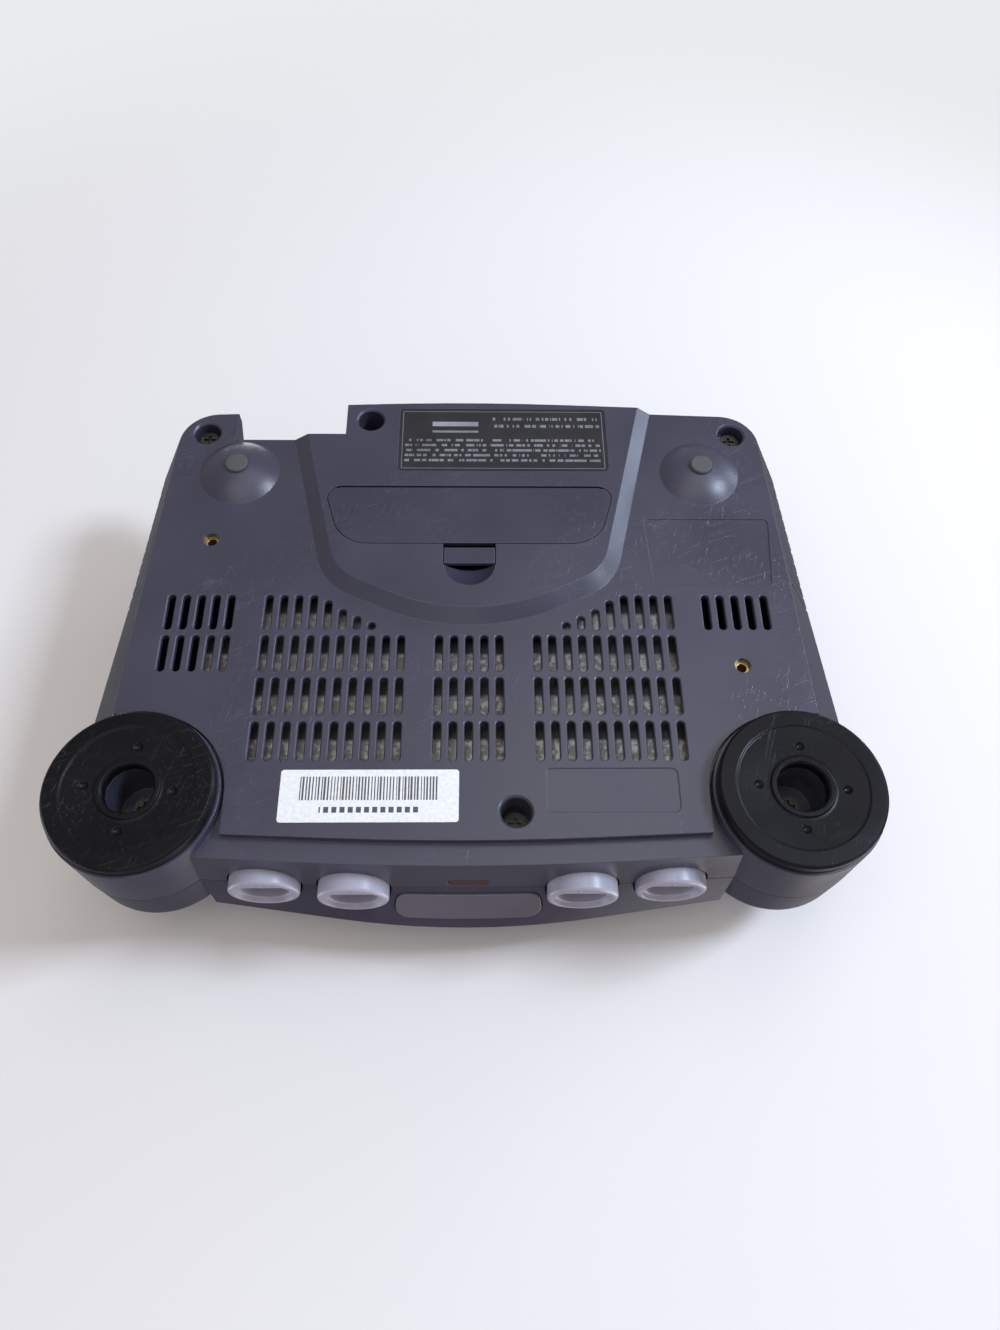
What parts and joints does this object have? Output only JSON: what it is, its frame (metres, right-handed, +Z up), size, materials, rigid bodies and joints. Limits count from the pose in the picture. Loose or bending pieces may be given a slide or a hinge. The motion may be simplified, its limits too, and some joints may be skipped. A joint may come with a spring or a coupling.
{
  "type": "game console",
  "caption": "Table-top cartridge game console: two-part charcoal case on disc feet, vented underside, controller sockets, slot flaps, power slider, reset button and supply bay.",
  "frame": {"origin": "centre of the footprint, on the surface the console stands on", "axes": "+Z up, front with the controller sockets towards -Y, +X to the right seen from the front"},
  "size_m": [0.26, 0.1895, 0.073],
  "materials": {
    "case_plastic": "fine-textured charcoal moulded plastic, scuffed",
    "foot_plastic": "near-black satin plastic",
    "pad_rubber": "grey rubber",
    "socket_plastic": "light grey moulded plastic",
    "button_plastic": "charcoal plastic",
    "badge_plastic": "satin charcoal badge, blank",
    "lamp_lens": "clear red window",
    "lamp_body": "red lamp body",
    "label_black": null,
    "label_white": null,
    "brass": "turned brass",
    "screw_steel": "zinc-plated steel",
    "spring_steel": "spring steel",
    "shield_metal": "tinned steel sheet",
    "spreader": "machined aluminium",
    "board_green": "green circuit board",
    "chip_black": "black epoxy",
    "can_sleeve": "capacitor sleeve",
    "connector_black": "black nylon connector",
    "connector_grey": "grey nylon"
  },
  "bodies": {
    "console": {"av_connector": "connector_black", "badge_plate": "badge_plastic", "board_screws": "screw_steel", "bottom_case": "case_plastic", "bottom_shield": "shield_metal", "capacitors": "can_sleeve", "cartridge_connector": "connector_black", "cartridge_guide": "connector_black", "case_screws": "screw_steel", "chips": "chip_black", "control_board": "board_green", "control_board_screws": "screw_steel", "controller_board": "board_green", "controller_pins": "brass", "controller_socket_1": "socket_plastic", "controller_socket_2": "socket_plastic", "controller_socket_3": "socket_plastic", "controller_socket_4": "socket_plastic", "expansion_connector": "connector_black", "flap_hinge_pins": "spring_steel", "flap_spring_front": "spring_steel", "flap_spring_rear": "spring_steel", "front_foot_left": "foot_plastic", "front_foot_right": "foot_plastic", "heat_spreader": "spreader", "insert_left": "brass", "insert_right": "brass", "lamp_window": "lamp_lens", "main_board": "board_green", "memory_connector": "connector_black", "memory_guide": "connector_black", "power_inlet": "connector_black", "power_lamp": "lamp_body", "power_switch": "shield_metal", "rating_label": "label_black", "rear_foot_pad_left": "pad_rubber", "rear_foot_pad_right": "pad_rubber", "rear_socket_board": "board_green", "reset_spring": "spring_steel", "reset_switch": "connector_black", "serial_label": "label_white", "top_case": "case_plastic", "top_shield": "shield_metal"},
    "expansion_cover_body": {"expansion_cover": "case_plastic"},
    "memory_hatch_body": {"memory_hatch": "case_plastic"},
    "memory_module_body": {"memory_module": "button_plastic"},
    "flap_front_body": {"slot_flap_front": "button_plastic"},
    "flap_rear_body": {"slot_flap_rear": "button_plastic"},
    "power_slider_body": {"power_slider": "button_plastic", "switch_lever": "connector_grey"},
    "reset_button_body": {"reset_button": "button_plastic"}
  },
  "joints": [
    {"name": "power_slide", "type": "slide", "parent": "console", "child": "power_slider_body", "axis": [0, -1, 0], "range_m": [0, 0.006]},
    {"name": "reset_press", "type": "slide", "parent": "console", "child": "reset_button_body", "axis": [0, 0, -1], "range_m": [0, 0.0018], "stiffness_N_per_m": 600, "springref_m": -0.0008, "deforming": ["reset_spring"]},
    {"name": "slot_flap_front_hinge", "type": "hinge", "parent": "console", "child": "flap_front_body", "pos_m": [0, 0.02545, 0.0672], "axis": [-1, 0, 0], "range_deg": [0, 85], "stiffness_Nm_per_rad": 0.02, "springref_deg": -17.19},
    {"name": "slot_flap_rear_hinge", "type": "hinge", "parent": "console", "child": "flap_rear_body", "pos_m": [0, 0.04255, 0.0672], "axis": [1, 0, 0], "range_deg": [0, 85], "stiffness_Nm_per_rad": 0.02, "springref_deg": -17.19},
    {"name": "memory_hatch_lift", "type": "slide", "parent": "console", "child": "memory_hatch_body", "axis": [0, 0, 1], "range_m": [0, 0.03]},
    {"name": "memory_module_lift", "type": "slide", "parent": "console", "child": "memory_module_body", "axis": [0, 0, 1], "range_m": [0, 0.015]},
    {"name": "expansion_cover_hinge", "type": "hinge", "parent": "console", "child": "expansion_cover_body", "pos_m": [0, 0.0534, 0.0034], "axis": [1, 0, 0], "range_deg": [0, 30]}
  ],
  "couplings": [
    {"joint": "memory_module_lift", "follows": "memory_hatch_lift", "ratio": 0.5}
  ]
}
